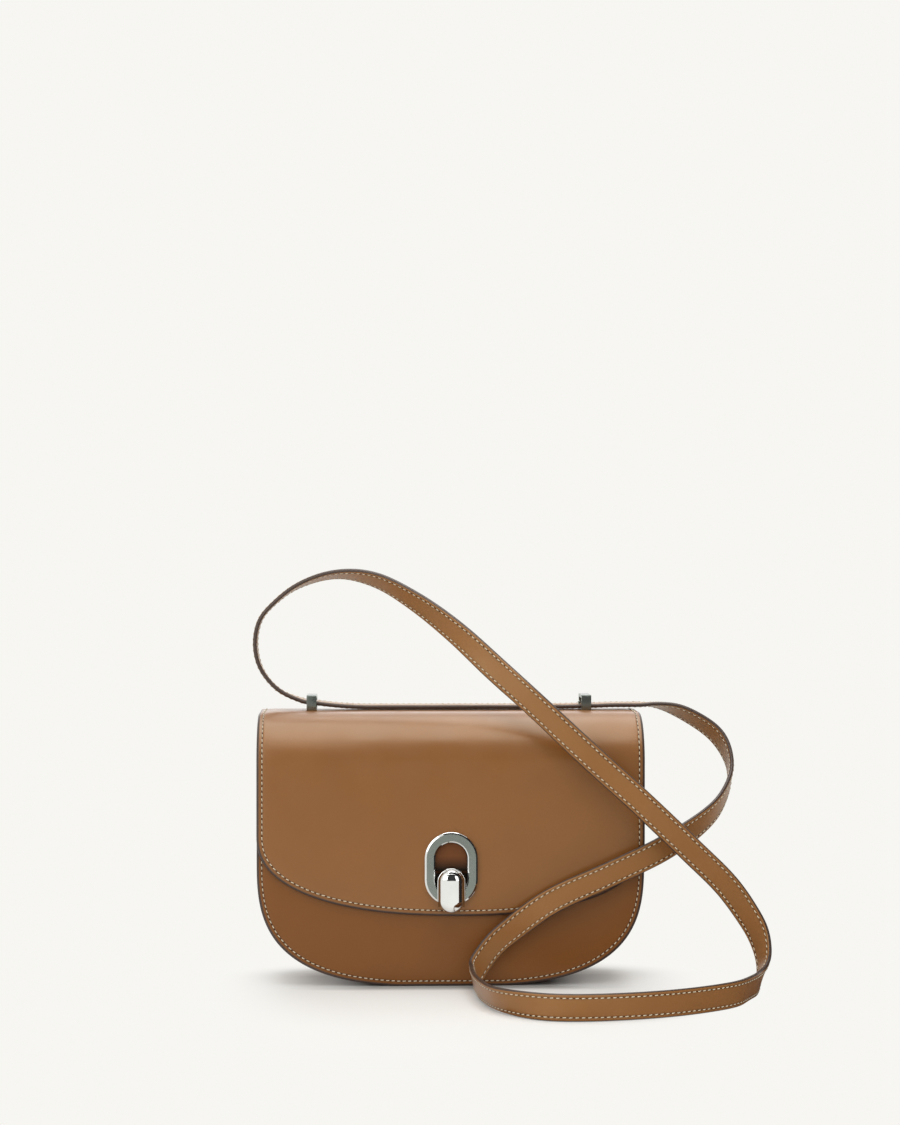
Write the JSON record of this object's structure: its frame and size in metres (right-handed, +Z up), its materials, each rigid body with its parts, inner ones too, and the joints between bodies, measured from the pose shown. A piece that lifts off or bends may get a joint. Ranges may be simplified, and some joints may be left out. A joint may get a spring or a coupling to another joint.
{
  "type": "saddle handbag",
  "caption": "flat-based leather shoulder bag with a rounded flap, a ring clasp with a hinged capsule, metal strap loops and a long stitched strap",
  "frame": {"origin": "middle of the flat base, on the floor", "axes": "+Z up, the front with the flap and the clasp faces -Y, +X to the right as seen from the front"},
  "size_m": [0.293, 0.1665, 0.2368],
  "materials": {
    "flap_leather": "smooth tan leather with cream saddle stitching and dark painted edges",
    "shell_leather": "smooth leather, a darker brown than the flap",
    "dark_leather": "thin dark brown leather",
    "strap_leather": "tan bridle leather with painted edges and two rows of stitches",
    "board": "stiff fibre board, hidden",
    "lining": "pale woven lining",
    "magnet": "plated magnet disc, hidden",
    "satin_metal": "satin grey metal with a faint green cast",
    "bright_metal": "polished bright metal"
  },
  "bodies": {
    "bag": {"front_panel": "shell_leather", "front_board": "board", "front_lining": "lining", "closing_magnet": "magnet", "back_panel": "shell_leather", "back_board": "board", "back_lining": "lining", "slip_pocket": "dark_leather", "gusset": "shell_leather", "gusset_lining": "lining", "top_yoke": "flap_leather", "top_board": "board", "top_lining": "lining", "left_strap_loop": "satin_metal", "right_strap_loop": "satin_metal", "left_loop_backplate": "satin_metal", "right_loop_backplate": "satin_metal", "loop_screws": "satin_metal", "strap_top_run": "strap_leather", "strap_stop_stud": "satin_metal"},
    "flap": {"flap_leather": "flap_leather", "flap_board": "board", "flap_lining": "lining", "window_inlay": "dark_leather", "clasp_ring": "satin_metal", "ring_backplate": "bright_metal", "capsule_pin": "bright_metal"},
    "capsule": {"capsule": "bright_metal"},
    "strap": {"strap": "strap_leather"}
  },
  "joints": [
    {"name": "flap_hinge", "type": "hinge", "parent": "bag", "child": "flap", "pos_m": [0, 0, 0.154], "axis": [-1, 0, 0], "range_deg": [0, 105]},
    {"name": "capsule_pivot", "type": "hinge", "parent": "flap", "child": "capsule", "pos_m": [0, -0.0349, 0.06516], "axis": [-1, 0, 0], "range_deg": [0, 75]},
    {"name": "strap_swing", "type": "hinge", "parent": "bag", "child": "strap", "pos_m": [0, 0.01398, 0.1562], "axis": [-1, 0, 0], "range_deg": [0, 105], "deforming": ["strap"]}
  ],
  "couplings": [
    {"joint": "strap_swing", "follows": "flap_hinge", "ratio": 1}
  ]
}
